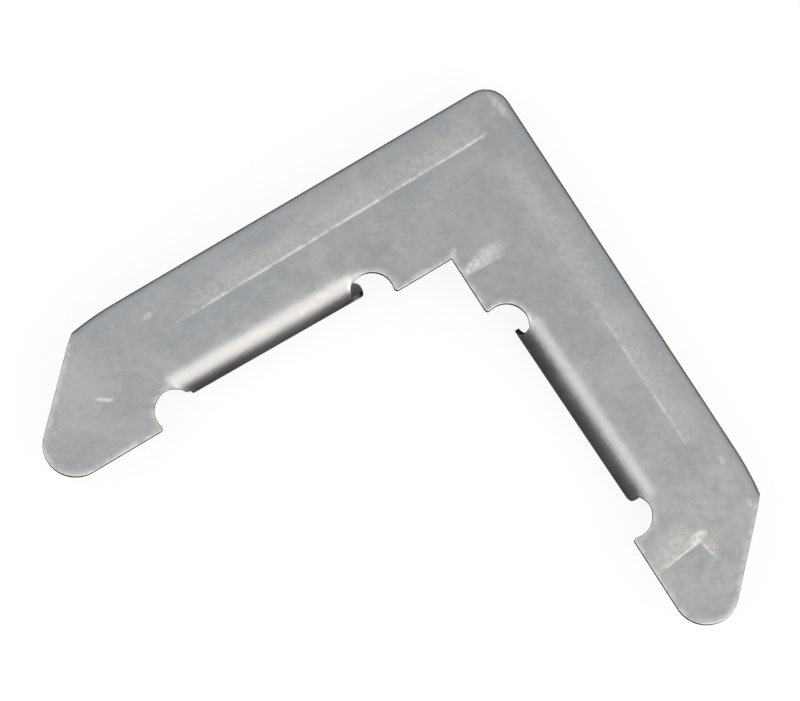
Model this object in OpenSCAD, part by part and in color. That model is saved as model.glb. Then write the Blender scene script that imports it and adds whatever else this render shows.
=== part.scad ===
// Corner insert for a window screen frame, stamped and folded from one sheet of galvanised steel.
// Both legs lie on the outer corner's two faces, which meet over the origin of the working frame.
// The plate is on top, and the outer wall and the rolled tabs hang down from it.

/* [Plate] */
// Length of each leg, from the outer faces of the corner to the tip
leg_len = 70; // [62:0.5:84]
// Width of each leg, from the outer face to the inner edge
leg_w = 16.4; // [15.4:0.1:19]
// Thickness of the sheet
sheet_t = 0.6; // [0.4:0.05:0.9]
// Height over all, which fills the hollow of the frame
height = 6.9; // [6:0.1:7.8]

/* [Outer wall] */
// Radius of the outer corner, seen from above
corner_r = 3.2; // [2:0.1:6]
// Inside radius of the bend between the plate and the outer wall
bend_r = 0.4; // [0.2:0.05:0.9]
// Radius of the lead-in, where the wall curves inward ahead of the nose
lead_r = 36; // [24:1:60]
// Length of the lead-in
lead_len = 6; // [3:0.5:9]

/* [Nose] */
// Radius of the tip
tip_r = 3.9; // [2.5:0.1:5]
// Angle between the slanted nose and the leg
nose_angle = 45; // [38:1:55]

/* [Notches] */
// Diameter of the round punch that frees each end of a tab
notch_d = 5.4; // [4.8:0.1:6]
// Distance of the notch centres in from the inner edge
notch_inset = 1.2; // [0.8:0.1:1.6]
// Distance from the inner corner to the first notch's centre
shoulder_len = 10.4; // [7:0.1:14]
// Distance from the second notch's centre to the leg's end
nose_len = 16.2; // [14:0.1:20]
// Radius on the points where the notches meet the inner edge
point_r = 0.4; // [0.2:0.05:0.6]

/* [Rolled tabs] */
// Distance of the roll's crown back from the inner edge
roll_setback = 2.55; // [2.2:0.05:3]
// Angle through which the sheet is rolled under
curl_angle = 180; // [160:1:180]
// Angle at which the roll runs in toward the outer wall at the nose
toe_in = 1; // [0:0.25:1.5]
// Distance of each end of the roll from its notch's centre, which is also the length of the hook
hook_len = 1.5; // [1.2:0.05:1.7]
// Radius of the cut above the hook
hook_r = 1.8; // [1.6:0.05:2]
// Depth of the hook's tip below the plate
hook_drop = 4.6; // [4.2:0.1:5]

/* [Hidden] */
$fn = 96;
steel = [0.66, 0.67, 0.68];
// Overshoot of the cuts past the faces that they open
past = 1;

// The bends' own sheet runs this far into the flat plate, so that they join as one
lap = 0.2;
// Outer radius of the bend along the outer wall
wall_bend_r = bend_r + sheet_t;

// Tip circle and the slanted edge that is tangent to it
tip_x = leg_len - tip_r;
tip_y = leg_w - tip_r;
slant_x = tip_x + tip_r * sin(nose_angle);
slant_y = tip_y - tip_r * cos(nose_angle);
// Where the slanted edge, carried on, would reach the outer face
slant_foot_x = slant_x - slant_y / tan(nose_angle);
// How far the lead-in has come inward by the nose
lead_drop = lead_r - sqrt(lead_r * lead_r - lead_len * lead_len);
// Start of the lead-in, so that its end lies on the slanted edge
lead_x = slant_foot_x + lead_drop / tan(nose_angle) - lead_len;
// Turn of the lead-in, carried past the slanted edge to a whole number of facets
facet = 360 / $fn;
lead_turn = facet * ceil(asin((lead_len + 2 * wall_bend_r) / lead_r) / facet);
// Where the sloping end of the outer wall, carried on, would reach the plate's top, clear of the bend
wall_end_x = lead_x + lead_len + 2 * wall_bend_r / tan(nose_angle);

// Notches
notch_r = notch_d / 2;
notch_y = leg_w - notch_inset;
notch_1_x = leg_w + shoulder_len;
notch_2_x = leg_len - nose_len;
notch_xs = [notch_1_x, notch_2_x];
// Rounding of the notch's points, from the notch's centre, which runs this far into the notch's edge
point_lap = 0.005;
point_y = notch_inset - point_r;
point_x = sqrt(pow(notch_r + point_r - point_lap, 2) - point_y * point_y);

// Rolled tab: outer radius, line where the bend starts, and middle of the tab
roll_r = height / (1 - cos(curl_angle));
roll_y = leg_w - roll_setback - roll_r;
roll_mid_x = (notch_1_x + notch_2_x) / 2;
// Notch centres in the tab's own frame, which is turned by the toe-in about the middle of the bend line
notch_us = [for (x = notch_xs) (x - roll_mid_x) * cos(toe_in) - (notch_y - roll_y) * sin(toe_in)];
notch_vs = [for (x = notch_xs) (x - roll_mid_x) * sin(toe_in) + (notch_y - roll_y) * cos(toe_in)];
// Ends of the full roll, where its dished ends turn up into the plate
roll_ends = [notch_us[0] + hook_len, notch_us[1] - hook_len];
// From a notch's centre to its edge, across the leg, at the roll's end
end_reach = sqrt(notch_r * notch_r - hook_len * hook_len);
// The dishes run this far into the notches, so that the punch trims them
dish_lap = 0.05;
// Plan radii of the dished ends, from the bend line to the notches' edges
dish_rs = [for (v = notch_vs) v - end_reach + dish_lap];
// How far the sheet has dropped at the nose end's notch
end_drop = roll_r - sqrt(roll_r * roll_r - dish_rs[1] * dish_rs[1]);
// How deep the cut above the hook digs into the roll's end
hook_dig = hook_r - hook_len;

// Ring sector from one angle to another, anticlockwise
module ring_sector(r_out, r_in, from, to) {
    step = (to - from) / 6;
    intersection() {
        difference() {
            circle(r_out);
            circle(r_in);
        }
        polygon([[0, 0], for (i = [0:6]) 2 * r_out * [cos(from + i * step), sin(from + i * step)]]);
    }
}

// Extrudes a section along +X: the section's first axis lies along Y and its second along Z
module along_x(from, to) {
    translate([from, 0, 0])
        rotate([90, 0, 90])
            linear_extrude(to - from)
                children();
}

// Outline of the plate's flat part along one leg, inside the wall's bend
module leg_plan() {
    translate([corner_r, wall_bend_r])
        square([lead_x - corner_r, leg_w - wall_bend_r]);
    intersection() {
        translate([lead_x, lead_r])
            circle(lead_r - wall_bend_r);
        polygon([
            [lead_x, 0], [slant_foot_x, 0], [slant_x, slant_y],
            [tip_x, tip_y], [tip_x, leg_w], [lead_x, leg_w]
        ]);
    }
    translate([tip_x, tip_y])
        circle(tip_r);
}

// Notch with its two points rounded over to the inner edge
module notch_plan() {
    circle(notch_r);
    difference() {
        polygon([
            [0, 0], [point_x, point_y], [point_x, notch_inset + past],
            [-point_x, notch_inset + past], [-point_x, point_y]
        ]);
        for (side = [-1, 1])
            translate([side * point_x, point_y])
                circle(point_r);
    }
}

// Section of the outer wall and its bend: distance inward from the outer face, then height
module wall_section() {
    square([sheet_t, height - wall_bend_r]);
    translate([wall_bend_r, height - wall_bend_r])
        ring_sector(wall_bend_r, bend_r, 90, 180);
    translate([wall_bend_r, height - sheet_t])
        square([lap, sheet_t]);
}

// Wall section carried round an upright axis, with its outer face at radius r
module wall_turn(r, start, angle) {
    rotate_extrude(start = start, angle = angle)
        translate([r, 0])
            mirror([1, 0])
                wall_section();
}

// Outer wall along one leg, with its lead-in and its sloping end
module leg_wall() {
    difference() {
        union() {
            along_x(corner_r, lead_x)
                wall_section();
            translate([lead_x, lead_r, 0])
                wall_turn(lead_r, 270, lead_turn);
        }
        // The slanted edge of the nose
        translate([0, 0, -past])
            linear_extrude(height + 2 * past)
                polygon([[slant_foot_x, 0], [leg_len, 0], [slant_x, slant_y]]);
        // The same slant of the blank, folded down with the wall
        translate([0, leg_w / 2, 0])
            rotate([90, 0, 0])
                linear_extrude(leg_w)
                    polygon([
                        [wall_end_x + past / tan(nose_angle), height + past],
                        [wall_end_x - (height + past) / tan(nose_angle), -past],
                        [leg_len, -past], [leg_len, height + past]
                    ]);
    }
}

// Turns a tab's own frame onto the leg: X along the bend line from its middle, Y toward the inner edge,
// Z up from the plate's top face
module on_tab() {
    translate([roll_mid_x, roll_y])
        rotate(-toe_in)
            children();
}

// Opening in the plate that the tab's bend starts from
module tab_window() {
    translate([roll_ends[0], 0])
        square([roll_ends[1] - roll_ends[0], leg_w]);
    for (i = [0, 1]) {
        translate([roll_ends[i], dish_rs[i]])
            circle(dish_rs[i]);
        translate([roll_ends[i] - dish_rs[i], dish_rs[i]])
            square([2 * dish_rs[i], leg_w]);
    }
}

// Start of the bend, as a section from the dish's upright axis outward
module dish_section(r) {
    intersection() {
        translate([r, -roll_r])
            ring_sector(roll_r, roll_r - sheet_t, 90, 180);
        translate([0, -height])
            square([r, height]);
    }
    translate([r, -sheet_t])
        square([lap, sheet_t]);
}

// Section of the roll between two angles of curl, from its bend line
module roll_section(from, to) {
    translate([0, -roll_r])
        ring_sector(roll_r, roll_r - sheet_t, 90 - to, 90 - from);
}

// Carries a side-view outline across the roll: its first axis lies along the roll, its second is upright
module across_roll() {
    translate([0, leg_w, 0])
        rotate([90, 0, 0])
            linear_extrude(leg_w + past)
                children();
}

// Punch's path round the tab's nose end, open below
module nose_end_cut() {
    across_roll()
        translate([notch_us[1], -end_drop - end_reach]) {
            circle(notch_r);
            translate([-notch_r, -height])
                square([2 * notch_r, height]);
        }
}

// Dished ends of the bend, where the sheet runs back up into the flat plate
module dishes() {
    difference() {
        for (i = [0, 1])
            translate([roll_ends[i], dish_rs[i], 0])
                rotate_extrude(start = 180 + 90 * i, angle = 90)
                    dish_section(dish_rs[i]);
        nose_end_cut();
    }
}

// Roll between the notches, with the hook under its corner end
module roll() {
    difference() {
        union() {
            along_x(roll_ends[0], roll_ends[1]) {
                roll_section(0, curl_angle);
                translate([-lap, -sheet_t])
                    square([lap, sheet_t]);
            }
            along_x(roll_ends[0] - hook_len, roll_ends[0])
                roll_section(90, curl_angle);
        }
        // Round cut above the hook
        across_roll()
            translate([roll_ends[0] + hook_dig - hook_r, hook_r - hook_drop])
                circle(hook_r);
        nose_end_cut();
    }
}

// Flat part of one leg with the tab's dished ends, punched by both notches
module punched_plate() {
    difference() {
        union() {
            translate([0, 0, height - sheet_t])
                linear_extrude(sheet_t)
                    difference() {
                        leg_plan();
                        on_tab()
                            tab_window();
                    }
            translate([0, 0, height])
                on_tab()
                    dishes();
        }
        for (x = notch_xs)
            translate([x, notch_y, -past])
                linear_extrude(height + 2 * past)
                    notch_plan();
    }
}

// One leg along X
module leg() {
    punched_plate();
    leg_wall();
    translate([0, 0, height])
        on_tab()
            roll();
}

// The corner between the legs
module corner() {
    translate([0, 0, height - sheet_t])
        linear_extrude(sheet_t) {
            translate([corner_r, corner_r])
                circle(corner_r - wall_bend_r);
            translate([corner_r, corner_r])
                square(leg_w - corner_r);
        }
    translate([corner_r, corner_r, 0])
        wall_turn(corner_r, 180, 90);
}

module corner_insert() {
    color(steel)
        translate([-leg_len / 2, -leg_len / 2, 0]) {
            corner();
            leg();
            mirror([1, -1, 0])
                leg();
        }
}

corner_insert();
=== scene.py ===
from types import SimpleNamespace

import bpy
import numpy as np
from mathutils import Matrix, Vector
from mathutils.geometry import delaunay_2d_cdt


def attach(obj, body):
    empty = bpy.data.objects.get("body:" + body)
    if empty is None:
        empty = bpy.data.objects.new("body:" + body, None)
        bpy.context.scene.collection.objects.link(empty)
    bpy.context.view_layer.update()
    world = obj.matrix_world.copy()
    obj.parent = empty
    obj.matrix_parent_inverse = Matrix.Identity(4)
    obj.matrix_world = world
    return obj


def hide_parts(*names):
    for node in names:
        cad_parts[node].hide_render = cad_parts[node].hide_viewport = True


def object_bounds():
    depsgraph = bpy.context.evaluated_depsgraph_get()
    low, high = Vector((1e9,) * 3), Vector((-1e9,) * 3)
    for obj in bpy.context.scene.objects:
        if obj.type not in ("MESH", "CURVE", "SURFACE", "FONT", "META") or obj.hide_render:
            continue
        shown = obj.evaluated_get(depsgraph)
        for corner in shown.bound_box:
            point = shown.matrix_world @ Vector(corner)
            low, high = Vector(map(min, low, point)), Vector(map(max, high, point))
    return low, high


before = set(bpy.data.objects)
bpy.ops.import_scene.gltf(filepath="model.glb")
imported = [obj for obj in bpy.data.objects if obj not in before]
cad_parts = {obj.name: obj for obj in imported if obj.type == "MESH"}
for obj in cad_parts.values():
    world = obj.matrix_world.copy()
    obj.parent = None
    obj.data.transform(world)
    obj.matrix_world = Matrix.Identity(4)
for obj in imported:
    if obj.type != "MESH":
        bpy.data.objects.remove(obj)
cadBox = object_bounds()
print("frame loaded:", sorted(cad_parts))

mm = 0.001
midPlan = 35.0  # the working frame's outer corner lies this far from the part's middle, both ways
tiny = 1e-6     # slack where two forms share a line
speck = 1e-12   # keeps a divisor off zero

# the stamped sheet: millimetres and degrees, from the outer corner, legs along +X and +Y
stamping = dict(
    legLen=70.0, legW=16.4, sheetT=0.6, height=6.9,
    cornerR=3.2, bendR=0.4, leadR=36.0, leadLen=6.0,
    tipR=3.9, noseAngle=45.0,
    notchD=5.4, notchInset=1.2, shoulderLen=10.4, noseLen=16.2, pointR=0.4,
    rollSetback=2.55, curl=180.0, toeIn=1.0, hookLen=1.5,
    dishLap=0.05,   # how far the dish reaches past the notch's edge
    dieRoll=0.15,   # rounding of the punched edge on the upper face
    burr=0.05,      # rounding on the under face
    cutShade=(0, -0.3, -0.7, -1, -1, -1),   # edgeGap down the rim: below zero on the cut itself
    # soft start of the bends: how far ahead of the bend line the sheet begins to turn, by how much,
    # and where that holds: below the flat, past the line, back from it, past the roll's end
    softAhead=1.6, softLean=5.0, softDepth=0.12, softPast=1.2, softBack=3.0, softEnd=5.0,
    # spacing of the points: in the flat, in rings inside its edge, in rows ahead of the bend line
    plateStep=0.8, ringStep=0.3, aheadRows=(0.35, 0.75, 1.2, 1.7),
    # room that each kind leaves to the edge, and that the flat and the rings leave to the dishes
    flatRoom=0.8, ringRoom=0.2, dishRoom=0.22, flatClear=0.4, ringClear=0.25,
    wallSplit=47.0,   # past this place each row of the wall is spaced to its own end
    wideTurn=132.0,   # past this angle of curl the roll's rows lie wider apart
)


def layOut(sizes):
    # places that follow from the sizes: tangent points, bend lines and the ends of the roll
    s = SimpleNamespace(**sizes)
    s.foldR = s.bendR + s.sheetT
    s.nose = np.radians(s.noseAngle)
    s.tipX, s.tipY = s.legLen - s.tipR, s.legW - s.tipR
    s.slantX = s.tipX + s.tipR * np.sin(s.nose)
    s.slantY = s.tipY - s.tipR * np.cos(s.nose)
    s.slantFootX = s.slantX - s.slantY / np.tan(s.nose)
    leadDrop = s.leadR - np.sqrt(s.leadR ** 2 - s.leadLen ** 2)
    s.leadX = s.slantFootX + leadDrop / np.tan(s.nose) - s.leadLen
    s.wallEndX = s.leadX + s.leadLen + 2 * s.foldR / np.tan(s.nose)
    s.notchR, s.notchY = s.notchD / 2, s.legW - s.notchInset
    s.notchX = np.array([s.legW + s.shoulderLen, s.legLen - s.noseLen])
    s.pointY = s.notchInset - s.pointR
    s.pointX = np.sqrt((s.notchR + s.pointR) ** 2 - s.pointY ** 2)
    s.rollR = s.height / (1 - np.cos(np.radians(s.curl)))
    s.rollY = s.legW - s.rollSetback - s.rollR
    s.rollMid = s.notchX.mean()
    s.toe = np.radians(s.toeIn)
    du, dv = s.notchX - s.rollMid, s.notchY - s.rollY
    notchU = du * np.cos(s.toe) - dv * np.sin(s.toe)
    notchV = du * np.sin(s.toe) + dv * np.cos(s.toe)
    s.rollEnd = notchU + s.hookLen * np.array([1, -1])
    s.reach = np.sqrt(s.notchR ** 2 - s.hookLen ** 2)
    endV = notchV - s.reach            # where each notch's edge meets the roll's end
    s.dishR = endV + s.dishLap
    s.endTheta = np.arcsin(endV / s.rollR)
    first, last = np.sort(s.endTheta)
    s.headRows = np.r_[np.linspace(0, first, 12), np.linspace(first, last, 5)[1:]]
    return s


def arc(cx, cy, r, start, end, n):
    # circle about (cx, cy) from one angle to another, in degrees
    a = np.radians(np.linspace(start, end, n))
    return np.stack([cx + r * np.cos(a), cy + r * np.sin(a)], -1)


def line(p, q, n):
    # straight run from p to q, both ends included
    t = np.linspace(0, 1, n)[:, None]
    return (1 - t) * np.asarray(p, float) + t * np.asarray(q, float)


def unit(v):
    return v / np.maximum(np.linalg.norm(v, axis=-1, keepdims=True), speck)


def nearest(pts, others):
    # distance in plan from each point to the nearest of the others
    return np.hypot(*(pts[:, None] - others[None]).transpose(2, 0, 1)).min(1)


def onLeg(s, u, v):
    # the tab's own frame set on the leg: turned by the toe-in about the middle of its bend line
    c, k = np.cos(s.toe), np.sin(s.toe)
    return np.stack([s.rollMid + u * c + v * k, s.rollY - u * k + v * c], -1)


def offLeg(s, xy):
    # back from the leg to the tab's own frame
    c, k = np.cos(s.toe), np.sin(s.toe)
    dx, dy = xy[..., 0] - s.rollMid, xy[..., 1] - s.rollY
    return dx * c - dy * k, dx * k + dy * c


def gridFaces(rows, cols, flip=False):
    # quads of a rows x cols grid of points
    i = np.arange(rows * cols).reshape(rows, cols)
    quads = np.stack([i[:-1, :-1], i[1:, :-1], i[1:, 1:], i[:-1, 1:]], -1).reshape(-1, 4)
    return quads[:, ::-1] if flip else quads


def wallPath(s, t, inward):
    # the wall's line in plan: straight along the leg, then the lead-in's arc; inward is square to it
    turn = np.maximum(t - s.leadX, 0) / s.leadR
    rho = s.leadR - inward
    x = np.where(t < s.leadX, t, s.leadX + rho * np.sin(turn))
    y = np.where(t < s.leadX, inward, s.leadR - rho * np.cos(turn))
    return np.stack([x, y], -1)


def slantTurn(s, rho):
    # angle round the lead-in at which an arc of radius rho meets the slanted edge
    k = (s.slantFootX - s.leadX) * np.sin(s.nose) + s.leadR * np.cos(s.nose)
    return s.nose - np.arccos(k / rho)


def wallRun(s, inward, z):
    # how far along the wall's line a height reaches: to the slanted edge or to the sloping end
    rho = s.leadR - inward
    slope = np.arcsin((s.wallEndX - (s.height - z) / np.tan(s.nose) - s.leadX) / rho)
    end = s.leadX + s.leadR * np.minimum(slantTurn(s, rho), slope)
    fixed = np.linspace(s.cornerR, s.wallSplit, 56)[1:]
    last = np.linspace(0, 1, 21)[1:]
    ones = np.ones(np.shape(end))[..., None]
    return np.concatenate([ones * fixed, s.wallSplit + last * (end - s.wallSplit)[..., None]], -1)


def wallSkin(s):
    # the fold's quarter round and the upright face, as one section carried from the corner's
    # diagonal round the corner, along the leg and into the lead-in
    beta = np.radians(np.linspace(0, 90, 10))
    full = s.leadX + s.leadR * np.sin(slantTurn(s, s.leadR))
    zCross = s.height - (s.wallEndX - full) * np.tan(s.nose)   # where the two cuts of the end meet
    drop = np.r_[line([s.height - s.foldR], [zCross], 3)[1:, 0], line([zCross], [0], 10)[1:, 0]]
    inward = np.r_[s.foldR * (1 - np.sin(beta)), np.zeros(len(drop))]
    z = np.r_[s.height - s.foldR * (1 - np.cos(beta)), drop]
    turned = s.cornerR + (s.cornerR - inward)[:, None, None] * arc(0, 0, 1, 225, 270, 13)
    t = wallRun(s, inward, z)
    xy = np.concatenate([turned, wallPath(s, t, inward[:, None])], 1)
    xyz = np.concatenate([xy, np.broadcast_to(z[:, None, None], xy.shape[:2] + (1,))], -1)
    return xyz.reshape(-1, 3), gridFaces(*xy.shape[:2])


# ends of the rolled tabs, which the press left different: angle of curl, and how far the sheet
# stands out past the roll's own end there
tabEnds = dict(
    legX=dict(
        corner=((42, 50, 56, 75, 90, 95, 98, 101, 108, 121, 132, 140, 148, 155, 160, 170, 180),
                (0, -0.18, -0.32, -0.50, -0.62, -0.50, 0.20, 0.88, 1.20, 1.46, 1.64, 1.70, 1.68,
                 1.56, 1.30, 1.0, 0.9)),
        nose=((54, 57, 62, 68, 73, 75, 77, 82, 95, 180),
              (0, -0.26, -0.44, -0.60, -0.76, -0.95, -1.28, -1.42, -1.55, -1.60))),
    legY=dict(
        corner=((42, 48, 54, 60, 66, 72, 80, 88, 94, 98, 102, 108, 115, 125, 180),
                (0, -0.06, -0.10, -0.10, -0.05, 0.06, 0.32, 0.72, 1.02, 1.16, 1.05, 0.45, 0.05,
                 -0.08, -0.10)),
        nose=((54, 70, 82, 92, 99, 112, 180), (0, 0.02, -0.18, -0.55, -0.85, -1.10, -1.20))),
)
rollCols = np.linspace(0, 1, 73)


def rollSkin(s, ends):
    # the roll: angle of curl by place along it; each row runs between its own two ends
    head = np.degrees(s.headRows)
    turn = np.r_[head, np.linspace(head[-1], s.wideTurn, 48)[1:],
                 np.linspace(s.wideTurn, s.curl, 16)[1:]]
    low = s.rollEnd[0] - np.interp(turn, *ends["corner"])
    high = s.rollEnd[1] + np.interp(turn, *ends["nose"])
    theta = np.radians(turn)
    u = low[:, None] + (high - low)[:, None] * rollCols
    v = np.broadcast_to((s.rollR * np.sin(theta))[:, None], u.shape)
    z = np.broadcast_to((s.height - s.rollR * (1 - np.cos(theta)))[:, None], u.shape)
    xyz = np.concatenate([onLeg(s, u, v), z[..., None]], -1)
    return xyz.reshape(-1, 3), gridFaces(*u.shape, flip=True)


def plateDrop(s, xy):
    # how far the plate dips at the tab's ends: the roll's own round, turned about an upright axis
    u, v = offLeg(s, xy)
    drop = np.zeros(len(xy))
    for end, side in ((0, -1), (1, 1)):
        r = s.dishR[end]
        q = np.hypot(u - s.rollEnd[end], v - r)
        dip = (side * (u - s.rollEnd[end]) >= -tiny) & (v <= r + tiny) & (q < r)
        depth = s.rollR - np.sqrt(np.maximum(s.rollR ** 2 - (r - q) ** 2, 0))
        drop = np.where(dip, depth, drop)
    return drop


def legOutline(s):
    # edge of the plate along one leg, from the corner's diagonal round the nose to the inner corner
    b = np.array([s.foldR])
    border = wallPath(s, wallRun(s, b, np.array([s.height]))[0], s.foldR)
    tilt = np.degrees(np.arctan2(s.pointY, s.pointX))
    lean = np.degrees(np.arctan2(-s.reach, s.hookLen)) - s.toeIn
    leanBack = np.degrees(np.arctan2(-s.reach, -s.hookLen)) - s.toeIn
    v = [s.rollR * np.sin(s.headRows[s.headRows <= t + tiny]) for t in s.endTheta]
    along = s.rollEnd[0] + (s.rollEnd[1] - s.rollEnd[0]) * rollCols
    (x1, x2), y = s.notchX, s.notchY
    topY = s.legW - s.pointR
    runs = [
        arc(s.cornerR, s.cornerR, s.cornerR - s.foldR, 225, 270, 13),
        border,
        line(border[-1], [s.slantX, s.slantY], 16),
        arc(s.tipX, s.tipY, s.tipR, s.noseAngle - 90, 90, 34),
        line([s.tipX, s.legW], [x2 + s.pointX, s.legW], 14),
        arc(x2 + s.pointX, topY, s.pointR, 90, 180 + tilt, 9),
        arc(x2, y, s.notchR, tilt, leanBack, 40),
        onLeg(s, np.full(len(v[1]), s.rollEnd[1]), v[1][::-1]),
        onLeg(s, along[::-1], np.zeros(len(rollCols))),
        onLeg(s, np.full(len(v[0]), s.rollEnd[0]), v[0]),
        arc(x1, y, s.notchR, lean, -180 - tilt, 36),
        arc(x1 - s.pointX, topY, s.pointR, -tilt, 90, 9),
        line([x1 - s.pointX, s.legW], [s.legW, s.legW], 12),
    ]
    # each run starts on the last one's end, apart from the border, which starts one step past it
    return np.concatenate(runs[:2] + [run[1:] for run in runs[2:]])


def insideOf(xy, loop):
    # even-odd rule, with the distance to the loop
    a, b = loop, np.roll(loop, -1, 0)
    px, py = xy[:, :1], xy[:, 1:]
    cross = (a[:, 1] > py) != (b[:, 1] > py)
    rise = np.where(b[:, 1] == a[:, 1], 1, b[:, 1] - a[:, 1])
    hit = cross & (px < (b[:, 0] - a[:, 0]) * (py - a[:, 1]) / rise + a[:, 0])
    ab = b - a
    dot = (px - a[:, 0]) * ab[:, 0] + (py - a[:, 1]) * ab[:, 1]
    t = np.clip(dot / np.maximum((ab ** 2).sum(1), speck), 0, 1)
    gap = np.hypot(px - a[:, 0] - t * ab[:, 0], py - a[:, 1] - t * ab[:, 1]).min(1)
    return hit.sum(1) % 2 == 1, gap


def dishPoints(s):
    # plan points in the dishes at the roll's ends, and in rows ahead of the whole bend
    quarters = ((0, 180), (1, 270))   # each end of the roll, and the angle at which its dish starts
    found = []
    for end, start in quarters:
        r = s.dishR[end]
        q, a = np.meshgrid(np.linspace(0.12, 1, 9) * r,
                           np.radians(np.linspace(start, start + 90, 15)))
        found.append(onLeg(s, s.rollEnd[end] + q * np.cos(a), r + q * np.sin(a)).reshape(-1, 2))
    for ahead in s.aheadRows:
        u = np.linspace(s.rollEnd[0], s.rollEnd[1], 60)
        found.append(onLeg(s, u, np.full(len(u), -ahead)))
        for end, start in quarters:
            r = s.dishR[end]
            turn = arc(s.rollEnd[end], r, r + ahead, start, start + 90, 16)
            found.append(onLeg(s, turn[:, 0], turn[:, 1]))
    found = np.concatenate(found)
    return np.concatenate([found, found[:, ::-1]])


def plateSkin(s):
    # the flat with its dished places: a height over a grid of plan points, filled in to the outline
    half = legOutline(s)
    loop = np.concatenate([half, half[-2:0:-1, ::-1]])

    def kept(pts, room):
        inside, gap = insideOf(pts, loop)
        return pts[inside & (gap > room)]

    along = np.roll(loop, -1, 0) - np.roll(loop, 1, 0)
    square = np.stack([-along[:, 1], along[:, 0]], -1) / np.linalg.norm(along, axis=1)[:, None]
    rings = [loop[k::k + 1] + k * s.ringStep * square[k::k + 1] for k in (1, 2)]
    rings = np.concatenate([kept(ring, s.ringRoom) for ring in rings])
    g = np.arange(1.0, s.legLen, s.plateStep)
    flat = kept(np.stack(np.meshgrid(g, g, indexing="ij"), -1).reshape(-1, 2), s.flatRoom)
    dish = kept(dishPoints(s), s.dishRoom)
    rings = rings[nearest(rings, dish) > s.ringClear]
    flat = flat[nearest(flat, dish) > s.flatClear]
    pts = np.concatenate([loop, dish, rings, flat])
    pts = pts[np.sort(np.unique(np.round(pts, 3), axis=0, return_index=True)[1])]
    n = np.arange(len(loop))
    edges = np.stack([n, np.roll(n, -1)], -1)
    filled, _, faces = delaunay_2d_cdt(list(map(Vector, pts)), edges.tolist(), [], 1, 1e-7)[:3]
    assert len(filled) == len(pts)   # only its faces are used, because it works in single precision
    faces = np.array(faces)
    p, q, r = pts[faces].transpose(1, 0, 2)
    turn = (q - p)[:, 0] * (r - p)[:, 1] - (q - p)[:, 1] * (r - p)[:, 0]
    faces = np.where(turn[:, None] < 0, faces[:, ::-1], faces)
    drop = np.maximum(plateDrop(s, pts), plateDrop(s, pts[:, ::-1]))
    return np.column_stack([pts, s.height - drop]), faces


def softStart(s, verts, normal):
    # the sheet begins to turn a little ahead of the bend line: normals lean toward the roll there,
    # by the square of the nearness
    lean = normal.copy()
    c, k = np.cos(s.toe), np.sin(s.toe)
    for swap in (False, True):
        xyz = verts[:, [1, 0, 2]] if swap else verts
        u, v = offLeg(s, xyz[:, :2])
        end = np.where(u < 0, 0, 1)
        out = np.where(end == 0, s.rollEnd[0] - u, u - s.rollEnd[1])
        past = out > 0
        q = np.hypot(np.maximum(out, 0), v - s.dishR[end])
        ahead = np.where(past, q - s.dishR[end], -v)
        level = ((xyz[:, 2] > s.height - s.softDepth) & (v < s.softPast) & (v > -s.softBack)
                 & (out < s.softEnd))
        near = np.clip(1 - ahead / s.softAhead, 0, None) * level
        tilt = np.radians(s.softLean) * np.minimum(near, 1) ** 2
        toward = np.where(past, -np.sign(u) * np.maximum(out, 0), 0), s.dishR[end] - v
        size = np.maximum(np.hypot(*toward), speck)
        a, b = np.where(past, toward[0] / size, 0), np.where(past, toward[1] / size, 1)
        way = np.stack([a * c + b * k, -a * k + b * c, np.zeros(len(u))], -1)
        way = way[:, [1, 0, 2]] if swap else way
        # only what the bend lacks is added
        held = np.minimum(np.arccos(np.clip(normal[:, 2], -1, 1)), tilt)
        lean += way * np.sin(tilt - held)[:, None]
    return unit(lean)


def weld(patches, step=1e-4):
    # patches as one skin: points closer than the step become one, quads become triangles
    count = np.cumsum([0] + [len(v) for v, f in patches])
    verts = np.concatenate([v for v, f in patches])
    tris = [np.concatenate([f[:, [0, 1, 2]], f[:, [0, 2, 3]]]) if f.shape[1] == 4 else f
            for v, f in patches]
    tris = np.concatenate([f + c for f, c in zip(tris, count)])
    home = np.arange(len(verts))
    key = np.round(verts / step).astype(np.int64)
    for shift in (0, 1):   # twice, so that points on a cell's border still meet
        _, first, inverse = np.unique((key + shift) // 2, axis=0, return_index=True,
                                      return_inverse=True)
        home = np.minimum(home, first[inverse.ravel()])
        home = home[home]
    used, index = np.unique(home, return_inverse=True)
    tris = index.ravel()[tris]
    good = (tris[:, 0] != tris[:, 1]) & (tris[:, 1] != tris[:, 2]) & (tris[:, 2] != tris[:, 0])
    return verts[used], tris[good]


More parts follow.
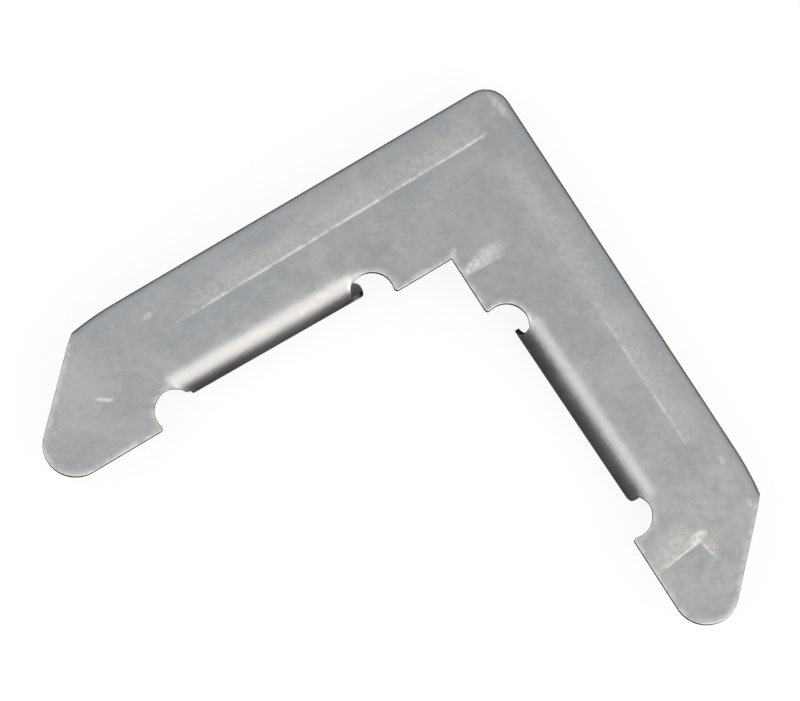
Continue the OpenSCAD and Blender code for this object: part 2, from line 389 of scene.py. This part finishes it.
def thicken(s, verts, tris):
    # gives the skin its sheet: a second skin one thickness below, and round every cut edge a rim
    # profile, softly rounded where the punch went in and nearly square below
    p, q, r = verts[tris].transpose(1, 0, 2)
    normal = np.zeros_like(verts)
    np.add.at(normal, tris.ravel(), np.repeat(np.cross(q - p, r - p), 3, 0))
    normal = unit(normal)
    ends = np.concatenate([tris[:, [0, 1]], tris[:, [1, 2]], tris[:, [2, 0]]])
    _, where, times = np.unique(np.sort(ends, 1), axis=0, return_index=True, return_counts=True)
    rim = ends[where[times == 1]]   # an edge with one triangle is a cut edge
    print("skin:", len(verts), "points,", len(tris), "triangles,", len(rim), "rim edges")
    along = np.zeros_like(verts)
    way = unit(verts[rim[:, 1]] - verts[rim[:, 0]])
    np.add.at(along, rim[:, 0], way)
    np.add.at(along, rim[:, 1], way)
    edge = np.unique(rim)
    up = normal[edge]
    outward = unit(np.cross(unit(along[edge]), up))

    # the rim profile: a quarter round in five points above, another in three below
    a = np.radians(np.linspace(0, 90, 5))
    side = np.r_[s.dieRoll * (np.sin(a) - 1), s.burr * (np.cos(a[::2]) - 1)]
    down = np.r_[s.dieRoll * (np.cos(a) - 1), -s.sheetT + s.burr * (1 - np.sin(a[::2]))]
    leanOut = np.r_[np.sin(a), np.cos(a[::2])]
    leanUp = np.r_[np.cos(a), -np.sin(a[::2])]
    ring = verts[edge][:, None] + side[:, None] * outward[:, None] + down[:, None] * up[:, None]
    ringNormal = leanOut[:, None] * outward[:, None] + leanUp[:, None] * up[:, None]
    top, under = verts.copy(), verts - s.sheetT * normal
    top[edge], under[edge] = ring[:, 0], ring[:, -1]

    n, k = len(verts), len(side)
    table = np.zeros((n, k), np.int64)
    table[edge, 0], table[edge, -1] = edge, n + edge
    table[edge, 1:-1] = 2 * n + np.arange(len(edge) * (k - 2)).reshape(-1, k - 2)
    i, j = table[rim[:, 0]], table[rim[:, 1]]
    quads = np.stack([j[:, :-1], i[:, :-1], i[:, 1:], j[:, 1:]], -1).reshape(-1, 4)
    points = np.concatenate([top, under, ring[:, 1:-1].reshape(-1, 3)])
    normals = np.concatenate([softStart(s, verts, normal), -normal,
                              ringNormal[:, 1:-1].reshape(-1, 3)])

    # distance to the cut edge, taken in parts to spare memory, and a mark for the inner face
    gap = np.concatenate([np.sqrt(((part[:, None] - verts[edge][None, ::2]) ** 2).sum(-1)).min(1)
                          for part in np.array_split(verts, 24)])
    gap[edge] = 0
    gap = np.concatenate([gap, gap, np.tile(s.cutShade, len(edge))])
    inner = np.r_[np.zeros(n), np.ones(n), np.zeros(len(points) - 2 * n)]
    tris = np.concatenate([tris, tris[:, ::-1] + n])
    return points, tris, quads, normals, dict(edgeGap=gap, innerFace=inner)


def addObject(name, data):
    # an object at the origin, in the scene
    made = bpy.data.objects.new(name, data)
    bpy.context.scene.collection.objects.link(made)
    return made


def makeStamping(sizes):
    s = layOut(sizes)
    wall = wallSkin(s)
    rollX, rollY = rollSkin(s, tabEnds["legX"]), rollSkin(s, tabEnds["legY"])
    swapped = [(verts[:, [1, 0, 2]], faces[:, ::-1]) for verts, faces in (wall, rollY)]
    patches = [plateSkin(s), wall, rollX] + swapped
    points, tris, quads, normals, tags = thicken(s, *weld(patches))
    # nothing stands out of the part's box
    points = np.clip((points - [midPlan, midPlan, 0]) * mm, *cadBox)
    mesh = bpy.data.meshes.new("cornerSheet")
    mesh.from_pydata(points.tolist(), [], tris.tolist() + quads.tolist())
    for name, values in tags.items():
        tag = mesh.attributes.new(name, "FLOAT", "POINT")
        tag.data.foreach_set("value", values.astype(np.float32))
    mesh.shade_smooth()
    mesh.normals_split_custom_set_from_vertices(normals.tolist())
    print("sheet:", len(mesh.vertices), "points,", len(mesh.polygons), "faces")
    return addObject("cornerSheet", mesh)


sheet = makeStamping(stamping)


# galvanised finish: satin zinc grey, cloudy, with the marks of the press, a painted highlight and
# painted shade along the creases, and painted shade on the cut faces; places in millimetres
zinc = dict(
    # the palest tone is rubbed zinc and also the painted highlight of the crease lines; the worn
    # tone is wear and also painted light beside the cut edges and on the inner face; the cut tone is
    # painted shade on the cut faces
    pale=(0.440, 0.446, 0.438, 1), dark=(0.338, 0.352, 0.364, 1), warm=(0.466, 0.466, 0.452, 1),
    cool=(0.348, 0.371, 0.394, 1), frost=(0.505, 0.505, 0.492, 1), wearAndPaintedLight=(0.59, 0.585, 0.573, 1),
    bareAndPaintedHighlight=(0.80, 0.79, 0.77, 1), cut=(0.17, 0.17, 0.175, 1), roughness=(0.37, 0.45),
    # the inner face's paler tone is painted light for the shaded inside of the hooks
    innerMetal=0.15, innerPaintedLight=0.6,   # the inner face is dull, and paler than the outer one
    # scales of the noise, per millimetre
    cloudScale=0.16, mottleScale=0.9, grainScale=4.5, driftScale=0.07, frostScale=1.6,
    smudgeScale=1.5, breakScale=0.4, fleckScale=1.9, fleckGroupScale=0.14,
    # shares of the tints that lie over the whole sheet
    driftShare=0.45, foldShare=0.55, fleckShare=0.35,
    # bands: cooler beside the folds, warmer along a leg, wear with a painted highlight near the cut
    # edge, painted shade on the cut
    foldBand=(0.6, 3.0), warmBand=(5, 65), edgeWearAndHighlightBand=(0.1, 0.9), cutBand=(-0.8, -0.1),
    # heights of the bump, as shares of its depth in metres
    cloudBump=0.35, mottleBump=0.26, grainBump=0.075, bumpDepth=0.0001,
    # a crease fades out over its last millimetres, or over a share of its length if that is less
    creaseFade=8.0, creaseFadeShare=0.35, creaseSlack=0.4,
    # where the frosted side ends, with a glint beside it and without one
    glintEdge=(0.05, 0.35), softEdge=(-0.6, 1.9),
    # witness lines of the die: start, end, reach of the frosted side, strength of frost and of
    # glint (a painted highlight along the line), lift, tone of the frost; the frosted side lies to
    # the right of the line
    creases=(
        ((4.9, 5.4), (50.4, 6.05), 3.6, 0.85, 0.62, 0.35, "frost"),
        ((4.75, 49.8), (4.9, 5.2), 3.4, 0.70, 0.00, 0.10, "frost"),
        ((4.72, 50.0), (4.81, 28.0), 1.6, 0.15, 0.32, 0.08, "wearAndPaintedLight"),
        ((9.74, 60.55), (16.4, 61.3), 4.2, 0.90, 0.30, 0.30, "wearAndPaintedLight"),
        ((9.15, 63.2), (9.74, 60.55), 1.3, 0.80, 0.30, 0.25, "wearAndPaintedLight"),
        ((10.4, 19.16), (16.2, 18.95), 1.7, 0.30, 0.22, 0.15, "wearAndPaintedLight"),
    ),
    rubFade=1.7,   # square of the distance, in half sizes, at which a rub ends
    # rubbed patches: middle, half length, half width, turn in degrees, strength
    rubs=(
        ((9.75, 60.2), 1.2, 0.65, 10, 1.2), ((5.0, 5.45), 0.55, 0.28, 10, 0.6),
        ((15.1, 18.6), 1.4, 0.55, 8, 0.9), ((12.7, 18.2), 2.5, 0.95, 9, 0.62),
        ((60.7, 9.5), 0.9, 0.28, -35, 0.7), ((60.0, 10.0), 0.5, 0.25, -30, 0.6),
        ((60.9, 1.8), 0.4, 0.30, 0, 0.7), ((50.9, 3.6), 0.6, 0.35, 10, 0.6),
        ((2.3, 53.9), 0.5, 0.30, 80, 0.6), ((2.3, 59.9), 0.5, 0.30, 80, 0.6),
        ((1.45, 3.3), 2.2, 0.50, 98, 0.50), ((20.6, 16.2), 1.4, 0.40, 0, 0.5),
        ((16.0, 16.1), 0.9, 0.40, 45, 0.6), ((51.6, 13.5), 0.5, 0.35, 0, 1.2),
    ),
)


def addNode(tree, kind, links=None, **settings):
    # one node: settings by attribute, sockets by name or number
    made = tree.nodes.new(kind)
    for name, value in settings.items():
        setattr(made, name, value)
    for name, value in (links or {}).items():
        socket = made.inputs[name]
        if isinstance(value, bpy.types.NodeSocket):
            tree.links.new(value, socket)
        else:
            socket.default_value = value
    return made


def zincFinish(look):
    mat = bpy.data.materials.new("galvanisedZinc")
    mat.use_nodes = True
    tree = mat.node_tree
    tree.nodes.clear()
    place = addNode(tree, "ShaderNodeTexCoord").outputs["Object"]

    def noise(scale, detail=3.0, rough=0.5, distort=0.0, stretch=(1, 1, 1)):
        # scale is per millimetre
        where = addNode(tree, "ShaderNodeMapping", {
            "Vector": place, "Scale": [k / mm for k in stretch]})
        return addNode(tree, "ShaderNodeTexNoise", {
            "Vector": where.outputs[0], "Scale": scale, "Detail": detail, "Roughness": rough,
            "Distortion": distort}).outputs["Fac"]

    def span(value, low, high, start=0.0, end=1.0, kind="SMOOTHSTEP"):
        # from low to high the value runs from start to end
        return addNode(tree, "ShaderNodeMapRange", {
            "Value": value, "From Min": low, "From Max": high, "To Min": start, "To Max": end},
            interpolation_type=kind).outputs["Result"]

    def calc(operation, a, b=0.0):
        return addNode(tree, "ShaderNodeMath", {0: a, 1: b}, operation=operation).outputs[0]

    def tint(fac, a, b):
        return addNode(tree, "ShaderNodeMix", {"Factor": fac, 6: a, 7: b},
                       data_type="RGBA").outputs[2]

    def onLine(start, turn):
        # millimetres along and across a line on the plate
        where = addNode(tree, "ShaderNodeMapping", {
            "Vector": place, "Location": [(k - midPlan) * mm for k in start] + [0],
            "Rotation": (0, 0, turn), "Scale": (mm, mm, mm)}, vector_type="TEXTURE")
        parts = addNode(tree, "ShaderNodeSeparateXYZ", {0: where.outputs[0]})
        return parts.outputs[0], parts.outputs[1]

    def total(*values):
        result = values[0]
        for value in values[1:]:
            result = calc("ADD", result, value)
        return result

    def product(*values):
        result = values[0]
        for value in values[1:]:
            result = calc("MULTIPLY", result, value)
        return result

    # clouds, mottle and grain of the zinc, cooler at the folds and warmer toward leg Y's nose
    cloud = noise(look["cloudScale"], 3, 0.5, 0.5)
    mottle = noise(look["mottleScale"], 4, 0.6)
    grain = noise(look["grainScale"], 2, 0.5)
    patchy = total(product(cloud, 0.6), product(mottle, 0.4))
    fac = total(product(span(patchy, 0.39, 0.61), 0.72), product(grain, 0.28))
    colour = tint(fac, look["dark"], look["pale"])
    x, y = onLine((0, 0), 0.0)
    drift = span(noise(look["driftScale"], 2, 0.5, 0.3), 0.38, 0.62)
    colour = tint(product(drift, look["driftShare"]), colour, look["cool"])
    slant = calc("SUBTRACT", y, product(x, 0.3))
    warmth = product(span(slant, *look["warmBand"]), span(mottle, 0.35, 0.6, 0.2, 0.5))
    colour = tint(warmth, colour, look["warm"])
    folds = calc("MAXIMUM", *(span(k, *look["foldBand"], 1, 0) for k in (x, y)))
    colour = tint(product(folds, look["foldShare"]), colour, look["cool"])
    plain, heights = colour, []

    # marks on the outer face
    frosted = span(noise(look["frostScale"], 5, 0.65), 0.38, 0.62, 0.3, 1.0)
    evened = span(frosted, 0.3, 1.0, 0.65, 1.0)
    smudged = span(noise(look["smudgeScale"], 3, 0.6), 0.36, 0.64, 0.35, 0.9)
    broken = span(noise(look["breakScale"], 3, 0.6), 0.40, 0.56, 0.25, 1.0)
    flecks = product(span(noise(look["fleckScale"], 3, 0.6, 0.6, (0.45, 1, 1)), 0.54, 0.76),
                     span(noise(look["fleckGroupScale"], 2), 0.42, 0.62))
    colour = tint(product(flecks, look["fleckShare"]), colour, look["wearAndPaintedLight"])

    # creases: a raised, frosted side, a pale broken line that is a painted highlight, and a cooler
    # far side that is painted shade
    for start, end, reach, frost, glint, lift, tone in look["creases"]:
        run = np.subtract(end, start)
        along, across = onLine(start, np.arctan2(run[1], run[0]))
        length, slack = float(np.hypot(*run)), look["creaseSlack"]
        fade = min(look["creaseFade"], look["creaseFadeShare"] * length)
        ends = product(span(along, -slack, 2 * slack),
                       span(along, length - fade, length + slack, 1, 0))
        ramp = product(span(across, -0.72 * reach, 0.0), span(across, 0.0, 0.3, 1, 0), ends)
        heights.append(product(ramp, lift))
        farEdge = look["glintEdge"] if glint else look["softEdge"]
        band = product(span(across, -reach, -0.25 * reach), span(across, *farEdge, 1, 0),
                       ends, frosted)
        colour = tint(product(band, frost), colour, look[tone])
        if glint:
            # painted highlight: a pale broken line along the crease, in the palest tone
            bright = product(span(across, -0.25, 0.08), span(across, 0.10, 0.42, 1, 0),
                             ends, evened, broken)
            colour = tint(product(bright, glint), colour, look["bareAndPaintedHighlight"])
        # painted shade: the far side of the line is darkened toward the cool tone
        shade = product(span(across, 0.2, 0.5), span(across, 0.6, 2.4, 1, 0), ends)
        colour = tint(product(shade, 0.5 * min(1.0, 2 * lift)), colour, look["cool"])

    # rubs: ellipses that fade outward, smudged
    for middle, halfLong, halfWide, turn, strength in look["rubs"]:
        along, across = onLine(middle, np.radians(turn))
        away = total(calc("POWER", product(along, 1 / halfLong), 2.0),
                     calc("POWER", product(across, 1 / halfWide), 2.0))
        rub = product(span(away, 0.0, look["rubFade"], 1, 0), smudged, strength)
        colour = tint(rub, colour, look["bareAndPaintedHighlight"])

    # wear beside the cut edges, partly a painted highlight, and painted shade on the cut itself
    edge = addNode(tree, "ShaderNodeAttribute", attribute_name="edgeGap").outputs["Fac"]
    near = product(span(edge, *look["edgeWearAndHighlightBand"], 1, 0), span(mottle, 0.35, 0.58, 0.2, 0.9))
    colour = tint(near, colour, look["wearAndPaintedLight"])
    # painted shade: the cut face is painted dark
    colour = tint(span(edge, *look["cutBand"], 1, 0), colour, look["cut"])

    # the inner face stays dull and unmarked, and is painted paler as painted light for the shaded
    # inside of the hooks
    inner = addNode(tree, "ShaderNodeAttribute", attribute_name="innerFace").outputs["Fac"]
    metal = span(inner, 0, 1, 1.0, look["innerMetal"])
    colour = tint(inner, colour, tint(look["innerPaintedLight"], plain, look["wearAndPaintedLight"]))
    heights = product(total(*heights), calc("SUBTRACT", 1.0, inner))
    heights = total(heights, product(cloud, look["cloudBump"]),
                    product(mottle, look["mottleBump"]), product(grain, look["grainBump"]))
    rough = span(patchy, 0.35, 0.65, *look["roughness"], kind="LINEAR")
    bump = addNode(tree, "ShaderNodeBump", {
        "Height": heights, "Strength": 1.0, "Distance": look["bumpDepth"]})
    shader = addNode(tree, "ShaderNodeBsdfPrincipled", {
        "Base Color": colour, "Roughness": rough, "Metallic": metal, "Normal": bump.outputs[0]})
    addNode(tree, "ShaderNodeOutputMaterial", {"Surface": shader.outputs[0]})
    return mat


sheet.data.materials.append(zincFinish(zinc))
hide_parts("corner_insert")
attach(sheet, "root")
print("zinc finish on")


# stage: pale floor, even surround, two soft boxes on the near side, the photograph's camera
studio = dict(
    floor=(0.9, 0.9, 0.9, 1), floorHalf=3.0, floorDrop=2e-5, floorGlow=0.88, surround=0.845,
    matte=0.9, card=(0.062, 0.051, 0.066, 1), cardR=0.2, cardSides=96, cardDrop=1e-5,
    sideCard=((0.2, -0.3, 0.0), (0.2, 0.2, 0.0), (0.22, 0.2, 0.085), (0.22, -0.3, 0.085)),
    rightBox=dict(toward=(-0.14, 0.76, 0.62), away=0.6, size=(0.62, 0.70), level=1.86,
                  colour=(1.0, 0.90, 0.82)),
    leftBox=dict(toward=(0.55, -0.17, 0.80), away=0.6, size=(0.5, 0.42), level=1.24,
                 colour=(1.0, 0.935, 0.89)),
    cameraAt=(66.81, 75.46, 466.11), lens=180.0, sensor=36.0, clip=(0.01, 20.0),
    cameraTurn=((-0.84768696, -0.50683051, 0.15668330),
                (0.52928473, -0.82797371, 0.18524905),
                (0.03583979, 0.23996328, 0.97012016)),
)


def addStagePiece(name, points, faces, colour, matte):
    # a painted piece of the stage, with its paint's nodes and shader
    mesh = bpy.data.meshes.new(name)
    mesh.from_pydata(points, [], faces)
    piece = addObject(name, mesh)
    paint = bpy.data.materials.new(name + "Paint")
    paint.use_nodes = True
    shader = paint.node_tree.nodes["Principled BSDF"]
    shader.inputs["Base Color"].default_value = colour
    shader.inputs["Roughness"].default_value = matte
    mesh.materials.append(paint)
    return piece, paint.node_tree, shader


def addFloor(stage):
    w, z = stage["floorHalf"], -stage["floorDrop"]
    corners = [(-w, -w, z), (w, -w, z), (w, w, z), (-w, w, z)]
    floor, tree, shader = addStagePiece("floor", corners, [(0, 1, 2, 3)], stage["floor"],
                                        stage["matte"])
    # part of the floor's white is its own, to the eye and in reflections, so shadows stay faint
    rays = addNode(tree, "ShaderNodeLightPath").outputs
    seen = rays["Is Camera Ray"]
    for ray in ("Is Glossy Ray", "Is Transmission Ray"):
        seen = addNode(tree, "ShaderNodeMath", {0: seen, 1: rays[ray]},
                       operation="MAXIMUM").outputs[0]
    share = addNode(tree, "ShaderNodeMath", {0: seen, 1: stage["floorGlow"]}, operation="MULTIPLY")
    glow = addNode(tree, "ShaderNodeEmission", {"Color": (1, 1, 1, 1), "Strength": 1.0})
    mixed = addNode(tree, "ShaderNodeMixShader", {
        0: share.outputs[0], 1: shader.outputs[0], 2: glow.outputs[0]})
    tree.links.new(mixed.outputs[0], tree.nodes["Material Output"].inputs["Surface"])


def addCards(stage):
    # dark cards under the part and beside it, which only its reflections show
    n, r = stage["cardSides"], stage["cardR"]
    turn = np.linspace(0, 2 * np.pi, n, endpoint=False)
    disc = np.column_stack([r * np.cos(turn), r * np.sin(turn), np.full(n, -stage["cardDrop"])])
    faces = [list(range(n)), [n, n + 1, n + 2, n + 3]]
    card = addStagePiece("darkCard", disc.tolist() + list(stage["sideCard"]), faces,
                         stage["card"], stage["matte"])[0]
    card.visible_camera = card.visible_diffuse = False
    card.visible_shadow = card.visible_transmission = False


def addLamp(name, box):
    # a soft box that faces the part; its level is its brightness, whatever its size
    lamp = bpy.data.lights.new(name, "AREA")
    lamp.shape = "RECTANGLE"
    lamp.size, lamp.size_y = box["size"]
    lamp.energy = box["level"] * np.pi * box["size"][0] * box["size"][1]
    lamp.color = box["colour"]
    holder = addObject(name, lamp)
    toward = Vector(box["toward"]).normalized()
    holder.location = toward * box["away"]
    holder.rotation_euler = toward.to_track_quat("Z", "Y").to_euler()


def setStage(stage):
    scene = bpy.context.scene
    scene.view_settings.view_transform = "Standard"
    addFloor(stage)
    addCards(stage)

    world = bpy.data.worlds.new("surround")
    world.use_nodes = True
    sky = world.node_tree.nodes["Background"].inputs
    sky["Color"].default_value = (1, 1, 1, 1)
    sky["Strength"].default_value = stage["surround"]
    scene.world = world

    for name in ("rightBox", "leftBox"):
        addLamp(name, stage[name])

    view = bpy.data.cameras.new("photoView")
    view.sensor_width, view.lens = stage["sensor"], stage["lens"]
    view.clip_start, view.clip_end = stage["clip"]
    camera = addObject("photoView", view)
    spot = Matrix.Translation(Vector(stage["cameraAt"]) * mm)
    camera.matrix_world = spot @ Matrix(stage["cameraTurn"]).to_4x4()
    scene.camera = camera


setStage(studio)
print("stage set")
